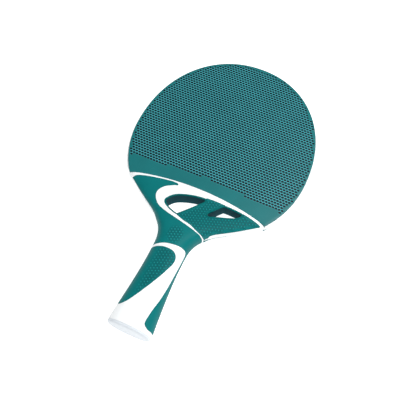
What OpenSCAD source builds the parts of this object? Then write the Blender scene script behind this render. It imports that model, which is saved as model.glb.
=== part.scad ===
// Table tennis bat with a composite blade, a ventilated throat and a soft-grip handle.
// Frame: +X across the blade, +Y along the bat towards the tip of the head, +Z out of the front face.
// The origin is the centre of the overall box. Units are millimetres.

/* [Head] */
// Half width of the rubber sheet
head_half_w = 76.5; // [70:0.5:84]
// Height of the head above its widest line
head_up = 91.9; // [84:0.5:100]
// Virtual height of the head below its widest line
head_down = 82.5; // [76:0.5:90]
// Height of the widest line of the head above the origin
head_y = 39.6; // [36:0.2:43]
// How square the head outline is: 2 is an ellipse
head_power = 2.1; // [2:0.05:2.4]
// How far the rim stands proud of the rubber
rim_proud = 1.2; // [0.6:0.1:2]

/* [Layers] */
// Thickness of the composite blade
core_th = 3.4; // [2.6:0.1:4.4]
// Thickness of one sponge layer
foam_th = 1.3; // [0.8:0.1:1.6]
// Thickness of one rubber sheet
rubber_th = 2.0; // [1.6:0.1:2.2]
// Width of the shelf where the rim carries the rubber
rim_shelf = 2.4; // [1.5:0.1:4]

/* [Handle] */
// Half thickness of the handle at its middle
grip_half_t = 11; // [10:0.1:12]
// Half thickness of the throat beside the rubber
throat_half_t = 6.1; // [5:0.1:7]
// Depth of the soft inlays
inlay = 1.4; // [0.8:0.1:2]
// Half height of the green band on the side of the handle
band_half_h = 2.5; // [1.5:0.1:3.5]
// Half height of the white side wall of the wings
side_white = 3.0; // [2:0.1:4]
// Thickness of the flange of the butt cap
cap_th = 2.2; // [1.5:0.1:3]

/* [Throat] */
// Radius of the arc that ends the rubber
arc_r = 226; // [200:1:260]
// Height of the middle of that arc
arc_y = -5.96; // [-8:0.02:-4]
// Wall of the lining of the openings
liner_w = 1.3; // [0.8:0.1:2]

/* [Hidden] */

white = [0.93, 0.95, 0.95];
pearl = [0.85, 0.87, 0.91];
teal = [0.06, 0.42, 0.40];
dark_teal = [0.03, 0.27, 0.27];
sponge = [0.84, 0.80, 0.62];
carbon = [0.16, 0.17, 0.18];

core_z = core_th / 2;
foam_z = core_z + foam_th;
top_z = foam_z + rubber_th;
big = 200;

// Half width of the throat and handle at stations along the bat
half_w = [[-132.7, 17.5], [-126, 17.4], [-118, 16.5], [-110, 15.8],
          [-102, 15.1], [-94, 14.5], [-86, 14.0], [-78, 13.7],
          [-70, 13.6], [-63, 13.7], [-58, 14.0], [-54, 14.8],
          [-50, 16.2], [-46, 18.5], [-42, 22.0], [-38, 26.0],
          [-34, 31.8], [-30, 38.2], [-26, 44.2], [-22, 49.8],
          [-18, 55.2], [-14.5, 60.2], [-11, 64], [-4, 70]];

// Edges of the coloured fields, listed along each edge
swoosh_low = [[-20, -10.9], [-26.7, -15.1], [-30.2, -20.5],
              [-29.6, -26.3], [-24.2, -32.6], [-15, -36.3],
              [-6.7, -38.4], [3, -40.6], [11.7, -42.7], [19.6, -44.7]];
swoosh_top = [[19.2, -43.7], [14.2, -42.5], [6.7, -39.4], [0, -38],
              [-6.7, -35.5], [-9, -34.4]];
post_top = [[8.6, -11.1], [15, -10.7], [20, -10.7], [25.4, -11]];
panel_top = [[40.8, -11.9], [44, -12.4], [54, -14.5], [57, -15.6]];
finger = [[-54.6, -16.2], [-52, -14.4], [-45, -12.2], [-35, -10.1],
          [-28.3, -8.9], [-21.7, -8.2], [-18.2, -8.6],
          [-17.4, -9.6], [-18.2, -10.4]];
neck_end = [[13.3, -60.6], [8.1, -59.9], [3.1, -60.4], [-2.6, -61.4],
            [-6.9, -62.9], [-11.4, -64.8]];
strip_edge = [[12.9, -94], [12.1, -104.3], [11, -111.4], [10.2, -118],
              [9.9, -122.4], [10.6, -125.1], [14, -127.3]];
pad_edge = [[-11.5, -67.2], [-4.7, -65.1], [0, -64.7], [4.6, -65.2],
            [7.6, -67.2], [9.1, -71], [8.5, -76.4], [5.3, -85.7],
            [1.1, -95.2], [-4.3, -106], [-9.2, -114],
            [-13.4, -117.8]];
large_hole = [[-19.6, -28], [-19.9, -25], [-15.6, -19.8],
              [-8.6, -16.4], [0, -14], [7.2, -13.1], [8.2, -14.4],
              [5.8, -18], [-5.6, -32.4], [-8.3, -33.8],
              [-15.8, -30.9]];
small_hole = [[25.8, -12.4], [37.8, -12.9], [39.6, -14.3],
              [36, -18], [22.5, -23.4], [16.8, -25.8],
              [15.3, -24], [18.8, -19], [23.2, -13.7]];

function ease(t) = t <= 0 ? 0 : t >= 1 ? 1 : t * t * (3 - 2 * t);
function bend(a, b, c, d, t) =
  0.5 * (2 * b + (c - a) * t + (2 * a - 5 * b + 4 * c - d) * t * t
         + (3 * b - a - 3 * c + d) * t * t * t);
function curve(p, n = 3) = concat(
  [for (i = [0 : len(p) - 2]) for (k = [0 : n - 1])
    bend(p[max(i - 1, 0)], p[i], p[i + 1],
         p[min(i + 2, len(p) - 1)], k / n)],
  [p[len(p) - 1]]);
function ring(p, n = 3) =
  [for (i = [0 : len(p) - 1]) for (k = [0 : n - 1])
    bend(p[(i + len(p) - 1) % len(p)], p[i], p[(i + 1) % len(p)],
         p[(i + 2) % len(p)], k / n)];

// Surface of the throat and handle
function mid_t(y) = throat_half_t
  + (grip_half_t - throat_half_t) * ease((-y - 4) / 54);
function side_t(y) = min(mid_t(y) - 0.2,
  5 + (grip_half_t - 5.6) * ease((-y - 22) / 38));
function edge_r(y) = 3.5 + 6 * ease((-y - 25) / 35);
function flat_w(y) = lookup(y, half_w) - edge_r(y);
function quarter(y, d) =
  let (f = flat_w(y), r = edge_r(y) - d, s = side_t(y) - d,
       m = mid_t(y) - d)
  [[0, m], [f * 0.55, s + (m - s) * 0.7], [f, s],
   [f + r * 0.5, s * 0.866], [f + r * 0.8, s * 0.6],
   [f + r * 0.97, s * 0.243], [f + r, 0]];
function section(y, d) =
  let (q = quarter(y, d), n = len(q))
  concat([for (i = [0 : n - 1]) q[i]],
         [for (i = [n - 2 : -1 : 0]) [q[i][0], -q[i][1]]],
         [for (i = [1 : n - 1]) [-q[i][0], -q[i][1]]],
         [for (i = [n - 2 : -1 : 1]) [-q[i][0], q[i][1]]]);

// Head outline, grown by g
function head_pt(i, g) =
  let (a = i * 3.75, c = cos(a), s = sin(a), e = 2 / head_power)
  [sign(c) * (head_half_w + g) * pow(abs(c), e),
   head_y + sign(s) * ((s > 0 ? head_up : head_down) + g)
     * pow(abs(s), e)];
function head_pts(g) = [for (i = [0 : 95]) head_pt(i, g)];

// A clockwise outline moved outwards by g
function unit(v) = v / norm(v);
function grow(p, g) = [for (i = [0 : len(p) - 1])
  let (n = len(p), v = unit(p[(i + 1) % n] - p[(i + n - 1) % n]))
  [p[i][0] - v[1] * g, p[i][1] + v[0] * g]];

// Blade plate: the head, the throat and the tongue in the handle
tongue = [[-54, -12.6], [-40, -24], [-25, -34], [-15, -42], [-9, -52],
          [-8, -112], [8, -112], [9, -52], [15, -42], [25, -34],
          [40, -24], [54, -12.6]];
function blade_pts() = concat(
  [for (i = [-24 : 72]) let (p = head_pt(i, -rim_shelf))
    if (p[1] > -12) p], tongue);

// Convex stretch between two cross-sections
module loft(ya, da, yb, db) {
  pts = concat([for (p = section(ya, da)) [p[0], ya, p[1]]],
               [for (p = section(yb, db)) [p[0], yb, p[1]]]);
  hull()
    polyhedron(points = pts,
               faces = [for (i = [0 : 3 : len(pts) - 3]) [i, i + 1, i + 2]]);
}

// Body of the throat and handle, shrunk by d
cap_y = -130.4;
module body(d = 0) {
  ys = concat([cap_y], [for (p = half_w) if (p[0] > cap_y) p[0]]);
  for (i = [0 : len(ys) - 2])
    loft(ys[i], d, ys[i + 1], d);
}

// The part of the plane above the arc that ends the rubber
module above_arc(gap = 0) {
  difference() {
    translate([-big / 2, -60])
      square([big, big + 20]);
    translate([0, arc_y - arc_r])
      circle(r = arc_r + gap, $fn = 240);
  }
}

module below_arc() {
  linear_extrude(height = 60, center = true)
    intersection() {
      translate([0, arc_y - arc_r])
        circle(r = arc_r, $fn = 240);
      translate([-70, -140])
        square([140, 140]);
    }
}

module prism(p) {
  linear_extrude(height = 60, center = true)
    polygon(p);
}

// White side wall of one wing, between the soft inlays of the two faces
module side_wall(y0, x0) {
  translate([x0, y0, -side_white])
    cube([70, 40, 2 * side_white]);
}

// Fields of the soft inlays
module panel_field() {
  difference() {
    panel_plan();
    side_wall(-41, 17);
  }
}

module neck_field() {
  difference() {
    neck_plan();
    side_wall(-36.8, -87);
  }
}

module panel_plan() {
  prism(concat(curve(swoosh_top), [[-7.5, -31]], [[8, -13]],
               curve(post_top), [[26, -14]], [[38.6, -14]],
               curve(panel_top), [[64, -16.6]], [[27, -46]]));
}

module neck_plan() {
  prism(concat(curve(finger), curve(swoosh_low), [[28, -44.7]],
               [[28, -127.6]], [[14, -127.4]],
               [for (i = [6 : -1 : 0]) strip_edge[i]],
               [[13.2, -78]], [[13.3, -62]], curve(neck_end), [[-24, -65.4]],
               [[-24, -41]], [[-64, -17]]));
  translate([6, -100, -band_half_h])
    cube([16, 40, 2 * band_half_h]);
}

module pad_field() {
  prism(concat(curve(pad_edge), [[-26, -118.2]], [[-26, -67.6]]));
}

module holes(g = 0) {
  linear_extrude(height = 60, center = true) {
    polygon(grow(ring(large_hole), g));
    polygon(grow(ring(small_hole), g));
  }
}

module front_side() {
  translate([-big / 2, -150, 0])
    cube([big, 300, 40]);
}

// Composite plate that carries the rubbers and runs down the handle
module core_shape() {
  difference() {
    polygon(blade_pts());
    polygon(grow(ring(large_hole), liner_w + 0.6));
    polygon(grow(ring(small_hole), liner_w + 0.6));
  }
}

module blade_core() {
  color(carbon)
    linear_extrude(height = core_th, center = true)
      core_shape();
}

module rim_layer(g, h) {
  linear_extrude(height = 2 * h, center = true)
    difference() {
      intersection() {
        polygon(head_pts(g));
        above_arc();
      }
      intersection() {
        polygon(head_pts(-rim_shelf));
        translate([-80, -60])
          square([160, 200]);
      }
    }
}

module edge_rim() {
  color(white) {
    rim_layer(rim_proud, foam_z - 0.9);
    rim_layer(rim_proud * 0.5, foam_z - 0.25);
    rim_layer(0, foam_z);
  }
}

module foam_sheet() {
  linear_extrude(height = foam_th)
    intersection() {
      polygon(head_pts(-rim_shelf));
      above_arc();
    }
}

module front_foam() {
  color(sponge)
    translate([0, 0, core_z])
      foam_sheet();
}

module back_foam() {
  color(sponge)
    translate([0, 0, -foam_z])
      foam_sheet();
}

module rubber_sheet() {
  linear_extrude(height = rubber_th)
    intersection() {
      polygon(head_pts(0));
      above_arc();
    }
}

module front_rubber() {
  color(teal)
    translate([0, 0, foam_z])
      rubber_sheet();
}

module back_rubber() {
  color(teal)
    translate([0, 0, -top_z])
      rubber_sheet();
}

module plug_shape(g = 0) {
  translate([-9.5 - g, -131, -4.5 - g])
    cube([19 + 2 * g, 10 + g, 9 + 2 * g]);
}

module shell_half() {
  difference() {
    intersection() {
      union() {
        body(inlay);
        difference() {
          body(0);
          panel_field();
          neck_field();
          pad_field();
        }
      }
      below_arc();
      front_side();
    }
    holes(liner_w);
    linear_extrude(height = core_th, center = true)
      core_shape();
    plug_shape(0.1);
  }
}

module front_shell() {
  color(white)
    shell_half();
}

module back_shell() {
  color(white)
    rotate([0, 180, 0])
      mirror([1, 0, 0])
        shell_half();
}

module skin() {
  difference() {
    body(0);
    body(inlay);
  }
}

module panel_half() {
  intersection() {
    difference() {
      skin();
      holes(liner_w);
    }
    panel_field();
    front_side();
  }
}

module front_throat_panel() {
  color(teal)
    panel_half();
}

module back_throat_panel() {
  color(teal)
    rotate([0, 180, 0])
      mirror([1, 0, 0])
        panel_half();
}

module neck_half() {
  intersection() {
    difference() {
      skin();
      holes(liner_w);
    }
    neck_field();
    front_side();
  }
}

module front_neck_grip() {
  color(teal)
    neck_half();
}

module back_neck_grip() {
  color(teal)
    rotate([0, 180, 0])
      mirror([1, 0, 0])
        neck_half();
}

module pad_half() {
  intersection() {
    skin();
    pad_field();
    front_side();
  }
}

module front_handle_pad() {
  color(teal)
    pad_half();
}

module back_handle_pad() {
  color(teal)
    rotate([0, 180, 0])
      mirror([1, 0, 0])
        pad_half();
}

// Soft lining of one opening, flush with both faces
module liner(p) {
  intersection() {
    body(0);
    linear_extrude(height = 60, center = true)
      difference() {
        polygon(grow(ring(p), liner_w));
        polygon(ring(p));
      }
  }
}

module large_opening_liner() {
  color(dark_teal)
    liner(large_hole);
}

module small_opening_liner() {
  color(dark_teal)
    liner(small_hole);
}

// End cap with a plug that sits between the two shells
module butt_cap() {
  color(pearl) {
    loft(cap_y, 0, cap_y - cap_th * 0.45, 0.25);
    loft(cap_y - cap_th * 0.45, 0.25, cap_y - cap_th * 0.8, 0.9);
    loft(cap_y - cap_th * 0.8, 0.9, -132.7, 2.2);
    plug_shape(0);
  }
}

blade_core();
edge_rim();
front_foam();
back_foam();
front_rubber();
back_rubber();
front_shell();
back_shell();
front_throat_panel();
back_throat_panel();
front_neck_grip();
back_neck_grip();
front_handle_pad();
back_handle_pad();
large_opening_liner();
small_opening_liner();
butt_cap();
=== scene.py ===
import math
import bmesh
import bpy
import numpy as np
from mathutils import Matrix, Vector
from mathutils.geometry import delaunay_2d_cdt


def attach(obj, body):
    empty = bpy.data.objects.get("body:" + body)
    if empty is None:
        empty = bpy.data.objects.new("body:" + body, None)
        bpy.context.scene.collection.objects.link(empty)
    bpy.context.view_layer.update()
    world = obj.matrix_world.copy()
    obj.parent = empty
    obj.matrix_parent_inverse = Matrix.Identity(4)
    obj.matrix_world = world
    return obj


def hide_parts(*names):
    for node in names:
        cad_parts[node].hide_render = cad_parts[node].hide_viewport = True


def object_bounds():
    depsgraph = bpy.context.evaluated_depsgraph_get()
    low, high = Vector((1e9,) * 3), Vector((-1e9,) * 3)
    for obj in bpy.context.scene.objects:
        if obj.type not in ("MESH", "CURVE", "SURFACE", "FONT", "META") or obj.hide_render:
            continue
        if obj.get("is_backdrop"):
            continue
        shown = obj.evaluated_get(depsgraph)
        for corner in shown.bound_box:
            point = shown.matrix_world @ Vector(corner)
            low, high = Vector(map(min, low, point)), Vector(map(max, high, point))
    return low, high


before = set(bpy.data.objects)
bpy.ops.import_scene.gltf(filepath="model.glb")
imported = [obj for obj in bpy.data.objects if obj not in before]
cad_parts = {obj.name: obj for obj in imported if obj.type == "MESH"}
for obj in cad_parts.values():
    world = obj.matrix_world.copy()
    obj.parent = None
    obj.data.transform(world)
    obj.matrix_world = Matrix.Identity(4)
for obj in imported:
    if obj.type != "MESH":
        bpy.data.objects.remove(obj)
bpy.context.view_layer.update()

MM = 0.001                      # every size below is in millimetres

# ---------------------------------------------------------------- camera

CAMERA_AT = Vector((91.4, -220.9, 430.8))
CAMERA_RIGHT = Vector((0.9112, 0.4118, 0.0129))
CAMERA_UP = Vector((-0.3698, 0.8039, 0.4659))
LENS = 53.87                    # on a 36 mm sensor


def make_camera():
    data = bpy.data.cameras.new("camera")
    data.sensor_width = 36
    data.lens = LENS
    data.clip_start = 0.01
    cam = bpy.data.objects.new("camera", data)
    bpy.context.scene.collection.objects.link(cam)
    right = CAMERA_RIGHT.normalized()
    up = (CAMERA_UP - right * right.dot(CAMERA_UP)).normalized()
    back = right.cross(up)
    turn = Matrix((right, up, back)).transposed().to_4x4()
    cam.matrix_world = Matrix.Translation(CAMERA_AT * MM) @ turn
    bpy.context.scene.camera = cam


make_camera()

# ---------------------------------------------------------------- sizes

HEAD_HALF_W = 76.5
HEAD_UP = 91.9                  # from its centre to the tip
HEAD_DOWN = 82.5                # half height of its lower part
HEAD_Y = 39.6                   # its centre
HEAD_POWER = 2.1                # 2 is an ellipse, more is squarer
RIM_PROUD = 1.2                 # how far the rim stands out past the rubbers
RIM_SHELF = 2.4                 # how far it reaches in between them
RIM_TAPER = 0.2                 # share of RIM_PROUD that is left at its ends
RIM_TAPER_RUN = 5               # degrees over which it tapers
RIM_END_X = 70                  # the arc is followed no further out than this
RUBBER_TOP = 5.0
RUBBER_LOW = 3.0
ARC_R = 226                     # the arc between the rubber and the throat
ARC_Y = -5.96                   # its top
GRIP_HALF_T = 11                # half thickness of the handle
THROAT_HALF_T = 6.1
INLAY = 1.4                     # depth of the recesses for the soft inlays
INLAY_GAP = 0.02                # under an inlay
INLAY_PROUD = 0.05              # how far an inlay stands above the shell
SHELL_FLOOR = 0.9               # thickness of the shell under an inlay
SIDE_WHITE = 3.0                # half height of the white side wall of the wings
LINER_W = 1.3                   # width of the linings' lips
SIDE_PLAIN = 7.0                # no dots within this distance of the side
GRIP_TURN = 22.3                # the slant of the rows of grip dots
GRIP_PITCH = 2.53
GRIP_DOT_R = 0.8
CAP_Y = -130.4                  # where the shells end and the cap begins
BUTT_Y = -132.7
CAP_SIDES = 96                  # points round the cap
SHARP_ANGLE = 40                # an edge that turns more than this looks sharp

# Half width of the throat and handle at stations along the bat
HALF_W = [(-132.7, 17.5), (-126, 17.4), (-118, 16.5), (-110, 15.8),
          (-102, 15.1), (-94, 14.5), (-86, 14.0), (-78, 13.7),
          (-70, 13.6), (-63, 13.7), (-58, 14.0), (-54, 14.8),
          (-50, 16.2), (-46, 18.5), (-42, 22.0), (-38, 26.0),
          (-34, 31.8), (-30, 38.2), (-26, 44.2), (-22, 49.8),
          (-18, 55.2), (-14.5, 60.2), (-11, 64), (-4, 70)]

# Edges of the coloured fields, listed along each edge
SWOOSH_LOW = [(-20, -10.9), (-26.7, -15.1), (-30.2, -20.5),
              (-29.6, -26.3), (-24.2, -32.6), (-15, -36.3),
              (-6.7, -38.4), (3, -40.6), (11.7, -42.7), (19.6, -44.7)]
SWOOSH_TOP = [(19.2, -43.7), (14.2, -42.5), (6.7, -39.4), (0, -38),
              (-6.7, -35.5), (-9, -34.4)]
POST_TOP = [(8.6, -11.1), (15, -10.7), (20, -10.7), (25.4, -11)]
PANEL_TOP = [(40.8, -11.9), (44, -12.4), (54, -14.5), (57, -15.6)]
FINGER = [(-54.6, -16.2), (-52, -14.4), (-45, -12.2), (-35, -10.1),
          (-28.3, -8.9), (-21.7, -8.2), (-18.2, -8.6),
          (-17.4, -9.6), (-18.2, -10.4)]
NECK_END = [(12.9, -60.9), (11.7, -60.1), (8.1, -59.9), (3.1, -60.4),
            (-2.6, -61.4), (-6.9, -62.9), (-11.4, -64.8)]
STRIP_EDGE = [(13.3, -63), (13.25, -70), (13.1, -80), (13, -88),
              (12.8, -95), (12.1, -104.3), (11, -111.4), (10.2, -118),
              (9.9, -122.4), (10.6, -125.1), (13.6, -127.1)]
PAD_EDGE = [(-11.5, -67.2), (-4.7, -65.1), (0, -64.7), (4.6, -65.2),
            (7.6, -67.2), (9.1, -71), (8.5, -76.4), (5.3, -85.7),
            (1.1, -95.2), (-4.3, -106), (-9.2, -114),
            (-13.4, -117.8)]
LARGE_HOLE = [(-19.6, -28), (-19.9, -25), (-15.6, -19.8),
              (-8.6, -16.4), (0, -14), (7.2, -13.1), (8.2, -14.4),
              (5.8, -18), (-5.6, -32.4), (-8.3, -33.8),
              (-15.8, -30.9)]
SMALL_HOLE = [(25.8, -12.4), (37.8, -12.9), (39.6, -14.3),
              (36, -18), (22.5, -23.4), (16.8, -25.8),
              (15.3, -24), (18.8, -19), (23.2, -13.7)]

# ---------------------------------------------------------------- curves

CURVE_STEPS = 8                 # from one given point of a line to the next


def bend(a, b, c, d, t):
    """Point between b and c on the smooth line through a, b, c and d."""
    return 0.5 * (2 * b + (c - a) * t + (2 * a - 5 * b + 4 * c - d) * t * t
                  + (3 * b - a - 3 * c + d) * t ** 3)


def curve(points):
    """A smooth open line through the points."""
    p, n = np.array(points, float), CURVE_STEPS
    last = len(p) - 1
    out = [bend(p[max(i - 1, 0)], p[i], p[i + 1], p[min(i + 2, last)], k / n)
           for i in range(last) for k in range(n)]
    return np.array(out + [p[last]])


def ring(points):
    """A smooth closed line through the points."""
    p, n = np.array(points, float), CURVE_STEPS
    m = len(p)
    return np.array([bend(p[i - 1], p[i], p[(i + 1) % m], p[(i + 2) % m], k / n)
                     for i in range(m) for k in range(n)])


def resample(line, step):
    """The closed line again with points about one step apart."""
    p = np.vstack([line, line[:1]])
    away = np.linalg.norm(np.diff(p, axis=0), axis=1)
    keep = np.concatenate([[True], away > 1e-6])
    p = p[keep]
    run = np.concatenate([[0], np.cumsum(np.linalg.norm(np.diff(p, axis=0), axis=1))])
    count = max(int(round(run[-1] / step)), 3)
    at = np.linspace(0, run[-1], count + 1)
    return np.column_stack([np.interp(at, run, p[:, k]) for k in range(2)])[:-1]


def grow(points, g):
    """A closed outline moved sideways by g, outwards if it runs clockwise."""
    p = np.array(points, float)
    t = np.roll(p, -1, axis=0) - np.roll(p, 1, axis=0)
    t /= np.linalg.norm(t, axis=1)[:, None]
    return p + g * np.column_stack([-t[:, 1], t[:, 0]])


def ease(t):
    """0 to 1, slow at both ends."""
    t = np.clip(t, 0, 1)
    return t * t * (3 - 2 * t)


def hermite(xs, ys, x):
    """Smooth value at x between the stations xs with the values ys."""
    slope = np.gradient(ys, xs)
    i = np.clip(np.searchsorted(xs, x) - 1, 0, len(xs) - 2)
    h = xs[i + 1] - xs[i]
    t = np.clip((x - xs[i]) / h, 0, 1)
    return ((1 + 2 * t) * (1 - t) ** 2 * ys[i] + t * (1 - t) ** 2 * h * slope[i]
            + t * t * (3 - 2 * t) * ys[i + 1] + t * t * (t - 1) * h * slope[i + 1])


def arc_y(x):
    """Height of the arc that ends the rubber."""
    return ARC_Y - ARC_R + np.sqrt(ARC_R ** 2 - np.asarray(x, float) ** 2)


def head_point(a, g):
    """A point on the head's outline grown by g, at angle a in degrees."""
    c, s = math.cos(math.radians(a)), math.sin(math.radians(a))
    e = 2 / HEAD_POWER
    tall = (HEAD_UP if s > 0 else HEAD_DOWN) + g
    return (math.copysign(abs(c) ** e, c) * (HEAD_HALF_W + g),
            HEAD_Y + math.copysign(abs(s) ** e, s) * tall)


# ---------------------------------------------------------------- surface

STATION = np.array(HALF_W)


class Skin:
    """The outer surface of the throat and handle. A place on it is (s, y): s is
    the distance round the cross-section from its top middle, y is along the bat."""

    STEP = 0.5                  # between the sections of the tables
    YS = np.arange(-133.0, -3.9, STEP)
    CELLS = 400                 # steps from the top middle to the side

    @staticmethod
    def half_w(y):
        return hermite(STATION[:, 0], STATION[:, 1], y)

    @staticmethod
    def shape(y):
        """Half width, half thickness at the middle and the side, and squareness.
        The throat's section blends into the handle's between y = -4 and -60."""
        mid = THROAT_HALF_T + (GRIP_HALF_T - THROAT_HALF_T) * ease((-y - 4) / 54)
        side = np.minimum(mid - 0.2,
                          5 + (GRIP_HALF_T - 5.6) * ease((-y - 22) / 38))
        power = 14 - 10.8 * ease((-y - 25) / 35)
        return Skin.half_w(y), mid, side, power

    @staticmethod
    def at(turn, rise, y):
        """Section point from its share of the width and of the thickness."""
        w, mid, side, power = Skin.shape(y)
        return w * turn, (mid - (mid - side) * turn ** 2) * rise

    @staticmethod
    def height(x, y):
        """Height of the surface over (x, y)."""
        turn = np.clip(np.abs(x) / Skin.half_w(y), 0, 1)
        return Skin.at(turn, np.sqrt(1 - turn ** Skin.shape(y)[3]), y)[1]

    def __init__(self):
        """Tables, at even steps round each section, of the two ways to say where
        a point is: turn, its share of the width, and phi, the section's angle."""
        y = self.YS[:, None]
        power = self.shape(y)[3]
        corner = math.sqrt(0.5) ** (2 / power)
        flat = np.linspace(0, 1, 100)[None, :-1] * corner
        round_ = np.linspace(math.pi / 4, math.pi / 2, 91)[None] + 0 * y
        phi = np.hstack([np.arcsin(flat ** (power / 2)), round_])
        turn = np.sin(phi) ** (2 / power)
        x, z = self.at(turn, np.cos(phi), y)
        step = np.hypot(np.diff(x, axis=1), np.diff(z, axis=1))
        run = np.hstack([0 * y, np.cumsum(step, axis=1)])
        self.total = run[:, -1]
        self.knots = turn, run
        share = np.linspace(0, 1, self.CELLS + 1)
        self.turn = np.array([np.interp(share * r[-1], r, t) for r, t in zip(run, turn)])
        self.phi = np.array([np.interp(share * r[-1], r, t) for r, t in zip(run, phi)])

    def reach(self, y):
        """Distance round the section from the top middle to the side."""
        return np.interp(y, self.YS, self.total)

    def rows(self, y):
        """Number of the section below y, and how far y is on to the next."""
        f = (np.asarray(y, float) - self.YS[0]) / self.STEP
        f = np.clip(f, 0, len(self.YS) - 1.001)
        i = f.astype(int)
        return i, f - i

    def point(self, s, y):
        """Place in space of (s, y)."""
        s, y = np.asarray(s, float), np.asarray(y, float)
        i, f = self.rows(y)
        share = np.clip(np.abs(s) / self.reach(y), 0, 1) * self.CELLS
        k = np.minimum(share.astype(int), self.CELLS - 1)
        g = share - k

        def look(table):
            a = table[i, k] + (table[i, k + 1] - table[i, k]) * g
            b = table[i + 1, k] + (table[i + 1, k + 1] - table[i + 1, k]) * g
            return a + (b - a) * f

        turn, phi, power = look(self.turn), look(self.phi), self.shape(y)[3]
        steep = phi > math.pi / 4
        turn = np.where(steep, np.sin(phi) ** (2 / power), turn)
        rise = np.where(steep, np.cos(phi), np.sqrt(1 - np.minimum(turn, 1) ** power))
        x, z = self.at(turn, rise, y)
        return np.column_stack([np.sign(s) * x, y, z])

    def normal(self, s, y):
        """Direction out of the surface, from points a little apart."""
        s, y, e = np.asarray(s, float), np.asarray(y, float), 0.05
        top = self.reach(y) - 2 * e
        s = np.clip(s, -top, top)
        du = self.point(s + e, y) - self.point(s - e, y)
        dv = self.point(s, y + e) - self.point(s, y - e)
        n = np.cross(du, dv)
        return n / np.linalg.norm(n, axis=1)[:, None]

    def place(self, xy):
        """(s, y) of the point of the front face seen at (x, y) from above."""
        out = []
        for x, y in np.array(xy, float):
            share = min(abs(x) / self.half_w(y), 1)
            turn, run = self.knots
            i, f = self.rows(y)
            a = np.interp(share, turn[i], run[i])
            b = np.interp(share, turn[i + 1], run[i + 1])
            out.append((math.copysign(a + (b - a) * f, x), y))
        return np.array(out)

    def side(self, sign, y0, y1, up=0.0):
        """A line along the side, a distance up from the mid-plane."""
        n = max(int(abs(y1 - y0)), 2)
        y = np.linspace(y0, y1, n)
        return np.column_stack([sign * (self.reach(y) - up), y])


skin = Skin()

# ---------------------------------------------------------------- meshing

CHUNK = 4000                    # points handled at a time, to save memory


def inside(points, outline):
    """Which points lie inside a closed outline."""
    hit = np.zeros(len(points), bool)
    ax, ay = outline[:, 0], outline[:, 1]
    bx, by = np.roll(ax, -1), np.roll(ay, -1)
    for lo in range(0, len(points), CHUNK):
        x, y = points[lo:lo + CHUNK].T[:, :, None]
        cross = (ay > y) != (by > y)
        with np.errstate(divide="ignore", invalid="ignore"):
            left = x < (bx - ax) * (y - ay) / (by - ay) + ax
        hit[lo:lo + CHUNK] = (cross & left).sum(1) % 2 == 1
    return hit


def distance(points, outlines):
    """Distance from each point to the nearest of the closed outlines."""
    best = np.full(len(points), 1e9)
    for line in outlines:
        a, b = line, np.roll(line, -1, axis=0)
        d = b - a
        size = (d * d).sum(1) + 1e-12
        for lo in range(0, len(points), CHUNK):
            p = points[lo:lo + CHUNK, None, :]
            t = np.clip(((p - a) * d).sum(2) / size, 0, 1)
            away = np.linalg.norm(p - (a + t[..., None] * d), axis=2).min(1)
            best[lo:lo + CHUNK] = np.minimum(best[lo:lo + CHUNK], away)
    return best


def nearest(points, centres):
    """For each point, the number of the nearest centre and the distance to it."""
    which, away = [], []
    few = CHUNK // 8
    for lo in range(0, len(points), few):
        gap = np.linalg.norm(points[lo:lo + few, None] - centres[None], axis=2)
        which.append(gap.argmin(1))
        away.append(gap.min(1))
    return np.concatenate(which), np.concatenate(away)


def hex_grid(lo, hi, pitch, angle=0.0):
    """A triangular grid of points that covers the box, with a point at the origin."""
    lo, hi = np.array(lo, float), np.array(hi, float)
    reach = np.linalg.norm(np.abs([lo, hi]).max(0))
    n = int(1.2 * reach / pitch) + 2
    i, j = np.meshgrid(np.arange(-n, n + 1), np.arange(-n, n + 1))
    x = (i + 0.5 * (j % 2)) * pitch
    y = j * pitch * math.sqrt(3) / 2
    c, s = math.cos(math.radians(angle)), math.sin(math.radians(angle))
    pts = np.column_stack([(c * x - s * y).ravel(), (s * x + c * y).ravel()])
    keep = ((pts >= lo - pitch) & (pts <= hi + pitch)).all(1)
    return pts[keep]


def ring_points(centres, radius, count):
    """Points on a circle round each centre."""
    a = np.arange(count) * 2 * math.pi / count
    round_ = radius * np.column_stack([np.cos(a), np.sin(a)])
    return (centres[:, None, :] + round_[None]).reshape(-1, 2)


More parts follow.
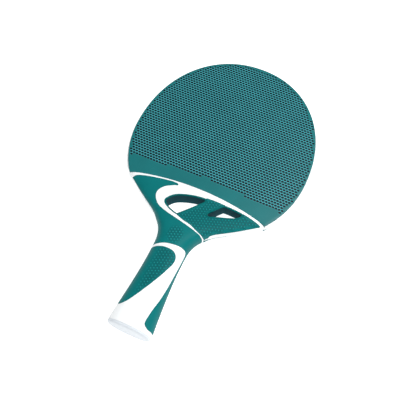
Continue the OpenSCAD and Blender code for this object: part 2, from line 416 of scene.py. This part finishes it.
class Field:
    """A flat patch with holes, meshed into triangles, whose edges are rounded and
    whose face can carry raised dots."""

    def __init__(self, outer, holes, pitch, step, edge, dots=None, inner=()):
        self.edge = edge
        lines = [resample(outer, step)] + [resample(h, step) for h in holes]
        marks = [resample(h, step) for h in inner]
        self.lines, self.marks = lines, marks
        pts, edges = [], []
        for line in lines + marks:
            first = sum(len(p) for p in pts)
            n = len(line)
            edges += [(first + k, first + (k + 1) % n) for k in range(n)]
            pts.append(line)
        extra = []
        for share in (0.3, 0.65, 1.0, 1.7):
            for line in lines + marks:
                for way in (1, -1):
                    near = grow(line, way * edge * share)
                    away = distance(near, lines + marks)
                    extra.append(near[away > 0.9 * edge * share])
        lo, hi = lines[0].min(0), lines[0].max(0)
        grid = hex_grid(lo, hi, pitch)
        if dots is not None:
            dots = dots[self.covers(dots)]
            dots = dots[distance(dots, lines) > GRIP_DOT_R * 1.35]
            dots = dots[np.abs(dots[:, 0]) < skin.reach(dots[:, 1]) - SIDE_PLAIN]
            self.dots = dots
            extra += [dots]
            extra += [ring_points(dots, GRIP_DOT_R * r, 8) for r in (0.45, 0.8, 1.0)]
            grid = grid[nearest(grid, dots)[1] > GRIP_DOT_R * 1.25]
        grid = grid[distance(grid, lines + marks) > edge * 2.3]
        more = np.vstack(extra + [grid])
        more = more[self.covers(more)]
        verts = [Vector(p) for p in np.vstack(pts + [more])]
        out = delaunay_2d_cdt(verts, edges, [], 0, 1e-5)
        self.verts = np.array([tuple(v) for v in out[0]])
        tris = np.array([f for f in out[2] if len(f) == 3])
        tris = tris[self.covers(self.verts[tris].mean(1))]
        a, b, c = (self.verts[tris[:, k]] for k in range(3))
        area = (b[:, 0] - a[:, 0]) * (c[:, 1] - a[:, 1]) \
            - (b[:, 1] - a[:, 1]) * (c[:, 0] - a[:, 0])
        tris = tris[np.abs(area) > 1e-7]
        area = area[np.abs(area) > 1e-7]
        tris[area < 0] = tris[area < 0][:, ::-1]
        self.tris = tris
        self.mid = self.verts[tris].mean(1)

    def covers(self, pts):
        """Which points lie on the patch, not in its holes."""
        hit = inside(pts, self.lines[0])
        for hole in self.lines[1:]:
            hit &= ~inside(pts, hole)
        return hit

    def rounding(self):
        """How far the rounded edges lie below the face, at each vertex."""
        d = np.clip(distance(self.verts, self.lines + self.marks) / self.edge, 0, 1)
        return self.edge * (1 - np.sqrt(np.clip(1 - (1 - d) ** 2, 0, 1)))

    def near_dots(self, fade):
        """For each vertex, the strength of its nearest dot and the distance to it
        in dot radii."""
        which, away = nearest(self.verts, self.dots)
        strength = np.ones(len(self.dots)) if fade is None else fade(self.dots)
        return strength[which], away / GRIP_DOT_R

    def bumps(self, height, fade):
        """How far the raised dots stand above the face, at each vertex."""
        strength, r = self.near_dots(fade)
        return height * strength * (1 - np.clip(r, 0, 1) ** 2) ** 1.2

    def painted_shading(self, fade):
        """Painted shading: 1, a painted highlight, on a raised dot, -1, painted shade, in
        the flat ring round it, 0 far from the dots.
        """
        strength, r = self.near_dots(fade)
        return strength * np.interp(r, [0.6, 0.95, 1.5, 2.2], [1, -1, -1, 0])


def slab(field, top, bottom, floor=None, low=None, painted_shading=None):
    """Closed mesh of a field on the skin: its face at height top, its underside at
    height bottom, and low at height floor over the triangles marked low. The last
    argument gives each vertex of the face a painted highlight (1) or painted shade (-1)."""
    v, t = field.verts, field.tris
    p = skin.point(v[:, 0], v[:, 1])
    n = skin.normal(v[:, 0], v[:, 1])
    low = np.zeros(len(t), bool) if low is None else low
    count = len(v)
    layers = [p + n * top[:, None], p + n * bottom]
    if floor is not None:
        layers.append(p + n * floor)
    verts = np.vstack(layers)
    faces = [tuple(f) for f in t[~low]]
    faces += [tuple(f + 2 * count) for f in t[low]]
    faces += [tuple(f[::-1] + count) for f in t]
    owner = {}
    for k, f in enumerate(t):
        for a, b in ((f[0], f[1]), (f[1], f[2]), (f[2], f[0])):
            owner[(a, b)] = k
    for (a, b), k in owner.items():
        other = owner.get((b, a))
        up = 2 * count if low[k] else 0
        if other is None:
            faces.append((b + up, a + up, a + count, b + count))
        elif low[other] and not low[k]:
            faces.append((b, a, a + 2 * count, b + 2 * count))
    tint = np.zeros(len(verts))
    if painted_shading is not None:
        tint[:count] = painted_shading
    return verts, faces, tint


# ---------------------------------------------------------------- pieces


def piece(name, verts, faces, material, node, painted_shading=None):
    """A named piece in place of a CAD node."""
    mesh = bpy.data.meshes.new(name)
    mesh.from_pydata((np.asarray(verts) * MM).tolist(), [],
                     [[int(i) for i in f] for f in faces])
    # painted shade and painted highlight of each vertex, kept as a mesh attribute for the
    # colour
    if painted_shading is not None:
        mesh.attributes.new("painted_shading", "FLOAT", "POINT").data.foreach_set("value", painted_shading)
    mesh.validate()
    mesh.materials.append(material)
    obj = bpy.data.objects.new(name, mesh)
    bpy.context.scene.collection.objects.link(obj)
    used = np.zeros(len(mesh.vertices), bool)
    for poly in mesh.polygons:
        used[list(poly.vertices)] = True
    if not used.all():
        drop_loose(mesh, used)
    mesh.shade_smooth()
    mesh.set_sharp_from_angle(angle=math.radians(SHARP_ANGLE))
    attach(obj, "root")
    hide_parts(node)


def drop_loose(mesh, used):
    """Remove the vertices that no face uses."""
    bm = bmesh.new()
    bm.from_mesh(mesh)
    bm.verts.ensure_lookup_table()
    bmesh.ops.delete(bm, geom=[v for v in bm.verts if not used[v.index]],
                     context="VERTS")
    bm.to_mesh(mesh)
    bm.free()


def both_sides(name, build, material):
    """A front piece and its twin on the back, mirrored in the mid-plane."""
    verts, faces, painted_shading = build
    verts = np.asarray(verts)
    piece("front_" + name, verts, faces, material, "front_" + name, painted_shading)
    piece("back_" + name, verts * (1, 1, -1), [tuple(f)[::-1] for f in faces],
          material, "back_" + name, painted_shading)


# ---------------------------------------------------------------- materials

# How fine the noises are, in waves per metre or so
MOTTLE = 60
SMUDGES = 220
SOFT_GRAIN = 3500
HARD_MOTTLE = 30
HARD_SMUDGES = 180
HARD_GRAIN = 2600
SOFT_WANDER = 0.14              # how far a soft colour wanders, as a share


def principled(name, base, rough, spec, coat=0.0):
    mat = bpy.data.materials.new(name)
    mat.use_nodes = True
    shader = mat.node_tree.nodes["Principled BSDF"]
    shader.inputs["Base Color"].default_value = (*base, 1)
    shader.inputs["Roughness"].default_value = rough
    shader.inputs["Specular IOR Level"].default_value = spec
    shader.inputs["Coat Weight"].default_value = coat
    return mat, mat.node_tree.nodes, mat.node_tree.links, shader


def noise(nodes, links, scale, detail=3):
    where = nodes.new("ShaderNodeTexCoord")
    tex = nodes.new("ShaderNodeTexNoise")
    tex.inputs["Scale"].default_value = scale
    tex.inputs["Detail"].default_value = detail
    links.new(where.outputs["Object"], tex.inputs["Vector"])
    return tex.outputs["Fac"]


def vary(nodes, links, fac, shader, low, high):
    """The base colour wanders between two close colours."""
    ramp = nodes.new("ShaderNodeValToRGB")
    ramp.color_ramp.elements[0].position = 0.3
    ramp.color_ramp.elements[0].color = (*low, 1)
    ramp.color_ramp.elements[1].position = 0.7
    ramp.color_ramp.elements[1].color = (*high, 1)
    links.new(fac, ramp.inputs["Fac"])
    links.new(ramp.outputs["Color"], shader.inputs["Base Color"])


def rough_range(nodes, links, fac, shader, low, high):
    """The roughness wanders between two values."""
    span = nodes.new("ShaderNodeMapRange")
    span.inputs["To Min"].default_value = low
    span.inputs["To Max"].default_value = high
    links.new(fac, span.inputs["Value"])
    links.new(span.outputs["Result"], shader.inputs["Roughness"])


def grain(nodes, links, fac, shader, depth, strength):
    """Fine bumps of a depth in millimetres."""
    bump = nodes.new("ShaderNodeBump")
    bump.inputs["Distance"].default_value = depth * MM
    bump.inputs["Strength"].default_value = strength
    links.new(fac, bump.inputs["Height"])
    links.new(bump.outputs["Normal"], shader.inputs["Normal"])


def soft_material(name, low, base, high, rough, spec):
    """Soft rubber: base on plain faces, low as painted shade in hollows and round dots,
    high as a painted highlight on raised parts.
    """
    mat, nodes, links, shader = principled(name, base, rough[0], spec)
    # the per-vertex painted shading picks painted shade (low), plain colour (base) or
    # painted highlight (high)
    painted_shading = nodes.new("ShaderNodeAttribute")
    painted_shading.attribute_name = "painted_shading"
    span = nodes.new("ShaderNodeMapRange")
    span.inputs["From Min"].default_value = -1
    ramp = nodes.new("ShaderNodeValToRGB")
    ramp.color_ramp.elements.new(0.5)
    for stop, colour in zip(ramp.color_ramp.elements, (low, base, high)):
        stop.color = (*colour, 1)
    links.new(painted_shading.outputs["Fac"], span.inputs["Value"])
    links.new(span.outputs["Result"], ramp.inputs["Fac"])
    tint = nodes.new("ShaderNodeMix")
    tint.data_type = "RGBA"
    tint.blend_type = "MULTIPLY"
    tint.inputs[0].default_value = 1
    links.new(ramp.outputs["Color"], tint.inputs[6])
    wander = nodes.new("ShaderNodeMapRange")
    wander.inputs["To Min"].default_value = 1 - SOFT_WANDER
    wander.inputs["To Max"].default_value = 1 + SOFT_WANDER
    links.new(noise(nodes, links, MOTTLE), wander.inputs["Value"])
    links.new(wander.outputs["Result"], tint.inputs[7])
    links.new(tint.outputs[2], shader.inputs["Base Color"])
    rough_range(nodes, links, noise(nodes, links, SMUDGES), shader, *rough)
    grain(nodes, links, noise(nodes, links, SOFT_GRAIN, 2), shader, 0.05, 0.35)
    return mat


def hard_material(name, low, high, rough):
    """Moulded plastic whose colour wanders a little between low and high."""
    mat, nodes, links, shader = principled(name, high, rough[0], 0.4, coat=0.1)
    vary(nodes, links, noise(nodes, links, HARD_MOTTLE), shader, low, high)
    rough_range(nodes, links, noise(nodes, links, HARD_SMUDGES), shader, *rough)
    grain(nodes, links, noise(nodes, links, HARD_GRAIN, 2), shader, 0.02, 0.3)
    return mat


# face_rubber: low is painted shade in the dimples, high a painted highlight on the ridges
# between them
RUBBER = soft_material("face_rubber", (0.001, 0.008, 0.014), (0.004, 0.138, 0.146),
                       (0.050, 0.330, 0.370), (0.34, 0.42), 0.3)
# soft_grip: low is painted shade in the rings round the dots, high a painted highlight on
# the dot tops
GRIP = soft_material("soft_grip", (0.001, 0.105, 0.110), (0.001, 0.148, 0.152),
                     (0.008, 0.230, 0.240), (0.46, 0.56), 0.1)
# soft_liner: low is painted shade on the lining's wall deep inside the opening
LINER = soft_material("soft_liner", (0.001, 0.070, 0.092), (0.001, 0.125, 0.125),
                      (0.001, 0.125, 0.125), (0.50, 0.62), 0.04)
WHITE = hard_material("white_shell", (0.86, 0.89, 0.90), (0.90, 0.92, 0.93),
                      (0.30, 0.42))
# end cap: bluish grey plastic, kept darker than the white shell partly as painted shade
# for its end face
PEARL_WITH_PAINTED_SHADE = hard_material("cap_plastic", (0.65, 0.70, 0.75), (0.71, 0.76, 0.80),
                      (0.32, 0.45))
CARBON = hard_material("blade_composite", (0.02, 0.022, 0.025),
                       (0.035, 0.037, 0.04), (0.45, 0.6))
SPONGE = soft_material("sponge", (0.50, 0.45, 0.28), (0.67, 0.61, 0.38),
                       (0.67, 0.61, 0.38), (0.85, 0.95), 0.35)

# ---------------------------------------------------------------- throat and handle


tip_y = -14.0
for _ in range(20):
    tip_y = float(arc_y(skin.half_w(tip_y)))
TIP_X = float(skin.half_w(tip_y))

HOLE_LINES = [ring(LARGE_HOLE), ring(SMALL_HOLE)]


def whole_field():
    """Outline of the front half of the throat and handle, on the skin."""
    top = np.linspace(-1, 1, 121)
    line = skin.place([(u * TIP_X, arc_y(u * TIP_X)) for u in top])
    return np.vstack([line, skin.side(1, tip_y - 0.5, CAP_Y),
                      skin.side(-1, CAP_Y, tip_y - 0.5)])


def panel_outline():
    low = skin.place(curve(SWOOSH_TOP))
    cut = skin.place([(-7.5, -31), (8, -13)])
    post = skin.place(curve(POST_TOP))
    gap = skin.place([(26, -14), (38.6, -14)])
    top = skin.place(curve(PANEL_TOP))
    side = [skin.side(1, -16.4, -39.5, SIDE_WHITE),
            skin.side(1, -41.0, -42.6, SIDE_WHITE * 0.35),
            skin.side(1, -43.4, -43.6, 0.3)]
    return np.vstack([low, cut, post, gap, top] + side)


def neck_outline():
    finger = skin.place(curve(FINGER))
    low = skin.place(curve(SWOOSH_LOW))
    right = skin.side(1, -45.2, -127.4)
    strip = skin.place(curve(STRIP_EDGE))[::-1]
    end = skin.place(curve(NECK_END))
    left = skin.side(-1, -65.4, -58)
    wing = skin.side(-1, -57, -17.2)
    wing[:, 0] += 2.3 * ease((wing[:, 1] + 57) / 30)
    return np.vstack([finger, low, right, strip, end, left, wing])


def pad_outline():
    edge = skin.place(curve(PAD_EDGE))
    return np.vstack([edge, skin.side(-1, -118.4, -67.9)])


PANEL = panel_outline()
NECK = neck_outline()
PAD = pad_outline()


def holes_on_skin():
    """The openings with their linings, on the skin."""
    return [skin.place(grow(line, LINER_W)) for line in HOLE_LINES]


def dot_grid(outline):
    return hex_grid(outline.min(0), outline.max(0), GRIP_PITCH, GRIP_TURN)


def shell():
    """White half shell, recessed where the soft inlays lie."""
    field = Field(whole_field(), holes_on_skin(), pitch=1.6, step=0.6,
                  edge=0.25, inner=[PANEL, NECK, PAD])
    low = np.zeros(len(field.mid), bool)
    for line in field.marks:
        low |= inside(field.mid, line)
    return slab(field, -field.rounding(), -INLAY - SHELL_FLOOR, -INLAY, low)


def inlay(outline, holes, height, fade=None):
    """Soft inlay with raised dots of a height, which fade tapers off."""
    field = Field(outline, holes, pitch=1.3, step=0.5, edge=0.3,
                  dots=dot_grid(outline))
    top = INLAY_PROUD - field.rounding() + field.bumps(height, fade)
    return slab(field, top, -INLAY + INLAY_GAP, painted_shading=field.painted_shading(fade))


def thumb_fade(dots):
    """Dots of the neck: only on an oval patch for the thumb."""
    x, y = dots[:, 0], dots[:, 1]
    return 1 - ease((np.hypot(x / 7.5, (y + 52) / 9) - 0.55) / 0.45)


def pad_fade(dots):
    """Dots of the pad: none towards its outer side."""
    return ease((dots[:, 0] + 9) / 6)


both_sides("shell", shell(), WHITE)
both_sides("throat_panel", inlay(PANEL, holes_on_skin(), 0.6), GRIP)
both_sides("neck_grip", inlay(NECK, [], 0.3, thumb_fade), GRIP)
both_sides("handle_pad", inlay(PAD, [], 0.55, pad_fade), GRIP)


def liner(name, outline):
    """Soft lining of an opening, rounded over on both faces."""
    line = resample(outline, 0.5)
    lip = [(1.0, -1.5), (1.0, -0.26), (0.94, -0.08), (0.80, 0.02), (0.50, 0.04),
           (0.30, -0.03), (0.14, -0.17), (0.03, -0.40), (0.0, -0.75),
           (0.0, -1.3)]
    wall = 6
    loops = []
    for g, down in lip:
        xy = grow(line, g * LINER_W)
        loops.append(np.column_stack([xy, skin.height(xy[:, 0], xy[:, 1]) + down]))
    last = loops[-1]
    mirror = [loop * (1, 1, -1) for loop in reversed(loops)]
    middle = [last * (1, 1, 1 - 2 * k / wall) for k in range(1, wall)]
    loops += middle + mirror
    n, m = len(line), len(loops)
    verts = np.vstack(loops)
    down = np.array([q[1] for q in lip])
    # painted shade: the wall darkens from the lip down into the opening
    tint = -ease((-down - 0.4) / 0.9) * (np.arange(len(lip)) > 4)
    tint = np.concatenate([tint, -np.ones(wall - 1), tint[::-1]])
    faces = []
    for r in range(m):
        for k in range(n):
            a, b = r * n + k, r * n + (k + 1) % n
            c, d = ((r + 1) % m) * n + (k + 1) % n, ((r + 1) % m) * n + k
            faces.append((a, b, c, d))
    piece(name, verts, faces, LINER, name, np.repeat(tint, n))


for name, line in zip(("large_opening_liner", "small_opening_liner"), HOLE_LINES):
    liner(name, line)

# ---------------------------------------------------------------- head

DIMPLE_PITCH = 2.65             # between dimples in a row
DIMPLE_ROW = DIMPLE_PITCH * math.sqrt(3) / 2
DIMPLE_FIRST = (0.13, 6.3)      # where one of them lies
DIMPLE_HALF = (1.27, 1.03)      # half size along and across a row
DIMPLE_SIDES = 12               # two to each side of its hexagonal cell
DIMPLE_FLOOR = 0.8              # size of the floor as a share of the rim's
DIMPLE_DEPTH = 0.7
DIMPLE_SHADE = -4               # painted shade of the floors, low enough to darken the walls with painted shade too
DIMPLE_MARGIN = 1.8             # from the edge of the rubber to a dimple's centre
STRIP_Y = 6.6                   # top of the plain strip on the centre line
STRIP_FALL = 0.075              # how fast it falls away to both sides
# Corners of a dimple's cell, in half pitches and thirds of rows
CORNERS = [(1, 1), (0, 2), (-1, 1), (-1, -1), (0, -2), (1, -1)]


def rubber_outline():
    """Outline of a rubber: the head above the arc, with small round corners."""
    edge = [head_point(a, 0) for a in np.arange(-45, 225.1, 1.0)]
    head = np.array([p for p in edge if p[1] > arc_y(p[0]) + 0.9])
    end = head[-1][0]
    low = np.array([(x, arc_y(x)) for x in np.linspace(end + 1.1, -end - 1.1, 90)])
    return np.vstack([head, low])[::-1]


def dimple_grid(outline):
    """Row numbers and centres of all places for dimples, and which are taken."""
    i, j = (k.ravel() for k in np.meshgrid(np.arange(-70, 71), np.arange(-20, 61)))
    at = np.column_stack([(i + j / 2) * DIMPLE_PITCH, j * DIMPLE_ROW]) + DIMPLE_FIRST
    near = np.abs(at[:, 0]) < HEAD_HALF_W + 8
    i, j, at = i[near], j[near], at[near]
    taken = inside(at, outline)
    taken &= distance(at, [outline]) > DIMPLE_MARGIN
    taken &= at[:, 1] > STRIP_Y - STRIP_FALL * np.abs(at[:, 0])
    return i, j, at, taken


class Sheet:
    """A rubber while it is built: its vertices, their painted shade or highlight, and its
    faces.
    """

    def __init__(self):
        self.verts, self.tint, self.faces = [], [], []

    def add(self, xy, z, painted_shading=0):
        """New vertices at height z; returns their numbers."""
        first = len(self.verts)
        self.verts.extend((x, y, z) for x, y in xy)
        self.tint.extend(painted_shading for _ in xy)
        return list(range(first, len(self.verts)))

    def band(self, upper, lower):
        """Faces between two closed loops with as many vertices."""
        n = len(upper)
        for k in range(n):
            m = (k + 1) % n
            self.faces.append((upper[k], upper[m], lower[m], lower[k]))


def add_dimples(sheet, i, j, at):
    """Dimples in their hexagonal cells; returns the outer edges of the cells."""
    circle = ring_points(np.zeros((1, 2)), 1, DIMPLE_SIDES)
    corners, edges = {}, set()
    for p, q, centre in zip(i, j, at):
        # rims and cell corners get a painted highlight (1), floors painted shade
        # (DIMPLE_SHADE)
        rim = sheet.add(centre + circle * DIMPLE_HALF, RUBBER_TOP, 1)
        floor = sheet.add(centre + circle * DIMPLE_HALF * DIMPLE_FLOOR,
                          RUBBER_TOP - DIMPLE_DEPTH, DIMPLE_SHADE)
        sheet.faces.append(tuple(floor))
        sheet.band(rim, floor)
        cell = []
        for du, dv in CORNERS:
            key = (2 * p + q + du, 3 * q + dv)
            if key not in corners:
                away = (du * DIMPLE_PITCH / 2, dv * DIMPLE_ROW / 3)
                corners[key] = sheet.add([centre + away], RUBBER_TOP, 1)[0]
            cell.append(corners[key])
        for k, corner in enumerate(cell):
            a, b, c = rim[2 * k], rim[2 * k + 1], rim[(2 * k + 2) % DIMPLE_SIDES]
            after = cell[(k + 1) % len(cell)]
            sheet.faces += [(a, corner, b), (b, corner, c), (c, corner, after)]
            edges.add((corner, after))
    return sorted(e for e in edges if e[::-1] not in edges)


def add_plain_part(sheet, outline, border, at, taken):
    """The plain part of the face, between the outermost dimples and the edge, and
    the loops that round the edge over; returns those loops."""
    loops = [sheet.add(grow(outline, g), RUBBER_TOP - down)
             for g, down in ((-0.2, 0.0), (-0.12, 0.02), (-0.04, 0.1), (0.0, 0.3))]
    inner = grow(outline, -0.2)
    joined = sorted({v for e in border for v in e})
    number = {v: k for k, v in enumerate(joined)}
    for v in joined:
        sheet.tint[v] = 0
    n, first = len(outline), len(joined)
    span = hex_grid(outline.min(0), outline.max(0), 3.0)
    span = span[inside(span, inner)]
    span = span[(distance(span, [inner]) > 1.2) & (nearest(span, at[taken])[1] > 2.6)]
    ids = joined + loops[0] + sheet.add(span, RUBBER_TOP)
    lines = [(number[a], number[b]) for a, b in border]
    lines += [(first + k, first + (k + 1) % n) for k in range(n)]
    flat = [Vector(sheet.verts[v][:2]) for v in ids]
    out = delaunay_2d_cdt(flat, lines, [], 0, 1e-5)
    got = np.array([tuple(v) for v in out[0]])
    tris = np.array([f for f in out[2] if len(f) == 3])
    mid = got[tris].mean(1)
    tris = tris[inside(mid, inner) & ~taken[nearest(mid, at)[0]]]
    for f in tris:
        a, b, c = got[f]
        if (b[0] - a[0]) * (c[1] - a[1]) < (b[1] - a[1]) * (c[0] - a[0]):
            f = f[::-1]
        sheet.faces.append(tuple(ids[out[3][k][0]] for k in f))
    return loops


def rubber():
    """Rubber sheet with its dimples sunk into the face."""
    outline = resample(rubber_outline(), 1.2)
    i, j, at, taken = dimple_grid(outline)
    sheet = Sheet()
    border = add_dimples(sheet, i[taken], j[taken], at[taken])
    loops = add_plain_part(sheet, outline, border, at, taken)
    loops.append(sheet.add(outline, RUBBER_LOW + 0.05))
    for upper, lower in zip(loops, loops[1:]):
        sheet.band(upper, lower)
    sheet.faces.append(tuple(loops[-1]))
    return np.array(sheet.verts), sheet.faces, sheet.tint


both_sides("rubber", rubber(), RUBBER)


def rim_angles():
    """Angles in degrees where the head's edge lies above the throat's."""
    angles = np.arange(-60, 240.1, 1.0)
    edge = [head_point(a, 0) for a in angles]
    return angles[[y > arc_y(min(abs(x), RIM_END_X)) - 0.6 for x, y in edge]]


def edge_rim():
    """White rim with a rounded outer edge, from one wing tip round to the other."""
    half = RUBBER_LOW
    round_ = [(g, z) for g, z in ((0.35, 1.0), (0.72, 0.9), (0.93, 0.68),
                                  (1.0, 0.36), (1.02, 0.0))]
    profile = [(-RIM_SHELF, -half), (-RIM_SHELF, half), (0.0, half)]
    profile += [(g * RIM_PROUD, z * half) for g, z in round_]
    profile += [(g * RIM_PROUD, -z * half) for g, z in round_[-2::-1]]
    profile += [(0.0, -half)]
    angles = rim_angles()
    end = np.minimum(angles - angles[0], angles[-1] - angles)
    lean = RIM_TAPER + (1 - RIM_TAPER) * ease(end / RIM_TAPER_RUN)
    verts = [(*head_point(a, g * f if g > 0 else g), z)
             for a, f in zip(angles, lean) for g, z in profile]
    m = len(profile)
    faces = []
    for r in range(len(angles) - 1):
        for k in range(m):
            a, b = r * m + k, r * m + (k + 1) % m
            faces.append((a, b, b + m, a + m))
    faces.append(tuple(range(m))[::-1])
    faces.append(tuple((len(angles) - 1) * m + k for k in range(m)))
    piece("edge_rim", verts, faces, WHITE, "edge_rim")


edge_rim()


def butt_cap():
    """Rounded end cap."""
    rings = [(CAP_Y - 0.05, 2.5), (CAP_Y - 0.05, 0.35), (CAP_Y - 0.18, 0.08),
             (CAP_Y - 0.45, 0.0), (CAP_Y - 1.0, 0.05), (CAP_Y - 1.5, 0.3),
             (CAP_Y - 1.9, 0.75), (CAP_Y - 2.15, 1.4), (BUTT_Y, 2.4),
             (BUTT_Y, 5.0), (BUTT_Y, 8.0)]
    n = CAP_SIDES
    phi = np.linspace(0, 2 * math.pi, n, endpoint=False)
    quarter = np.abs((phi + math.pi / 2) % math.pi - math.pi / 2)
    verts = []
    for y, inset in rings:
        w, mid, side, power = Skin.shape(max(y, BUTT_Y))
        turn = np.sin(quarter) ** (2 / power)
        x = (w - inset) * turn * np.sign(np.sin(phi))
        z = (mid - inset - (mid - side) * turn ** 2) * np.cos(quarter) \
            * np.sign(np.cos(phi))
        verts.append(np.column_stack([x, np.full(n, y), z]))
    verts = np.vstack(verts)
    faces = [(r * n + k, r * n + (k + 1) % n,
              (r + 1) * n + (k + 1) % n, (r + 1) * n + k)
             for r in range(len(rings) - 1) for k in range(n)]
    faces.append(tuple(range(n))[::-1])
    faces.append(tuple((len(rings) - 1) * n + k for k in range(n)))
    piece("butt_cap", verts, faces, PEARL_WITH_PAINTED_SHADE, "butt_cap")


butt_cap()

# ---------------------------------------------------------------- inner pieces


def paint(node, material):
    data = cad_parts[node].data
    data.materials.clear()
    data.materials.append(material)


paint("blade_core", CARBON)
paint("front_foam", SPONGE)
paint("back_foam", SPONGE)

# ---------------------------------------------------------------- stage

FLOOR_HALF = 2.5                # metres
FLOOR_GLOW = 0.85
WORLD = 0.34


def make_floor(z):
    h = FLOOR_HALF
    mesh = bpy.data.meshes.new("floor")
    mesh.from_pydata([(-h, -h, z), (h, -h, z), (h, h, z), (-h, h, z)], [],
                     [(0, 1, 2, 3)])
    floor = bpy.data.objects.new("floor", mesh)
    bpy.context.scene.collection.objects.link(floor)
    mat, nodes, links, shader = principled("floor", (0.6, 0.6, 0.6), 0.9, 0.1)
    shader.inputs["Emission Color"].default_value = (1, 1, 1, 1)
    shader.inputs["Emission Strength"].default_value = FLOOR_GLOW
    mesh.materials.append(mat)
    floor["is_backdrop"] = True


def area_light(name, at, size, radiance):
    """A rectangular light that faces the bat; at and size in millimetres."""
    data = bpy.data.lights.new(name, "AREA")
    data.shape = "RECTANGLE"
    data.size, data.size_y = size[0] * MM, size[1] * MM
    data.energy = radiance * math.pi * data.size * data.size_y
    light = bpy.data.objects.new(name, data)
    light.location = Vector(at) * MM
    light.rotation_euler = (-Vector(at)).to_track_quat("-Z", "Y").to_euler()
    bpy.context.scene.collection.objects.link(light)


def make_world():
    world = bpy.data.worlds.new("studio")
    bpy.context.scene.world = world
    world.use_nodes = True
    back = world.node_tree.nodes["Background"]
    back.inputs["Color"].default_value = (1, 1, 1, 1)
    back.inputs["Strength"].default_value = WORLD


make_floor(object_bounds()[0][2])
make_world()
area_light("key", (260, -160, 640), (320, 320), 7.5)
area_light("softbox", (230, 200, 560), (240, 240), 13)
area_light("fill", (-350, -600, 500), (400, 400), 1.5)
bpy.context.scene.view_settings.view_transform = "Standard"
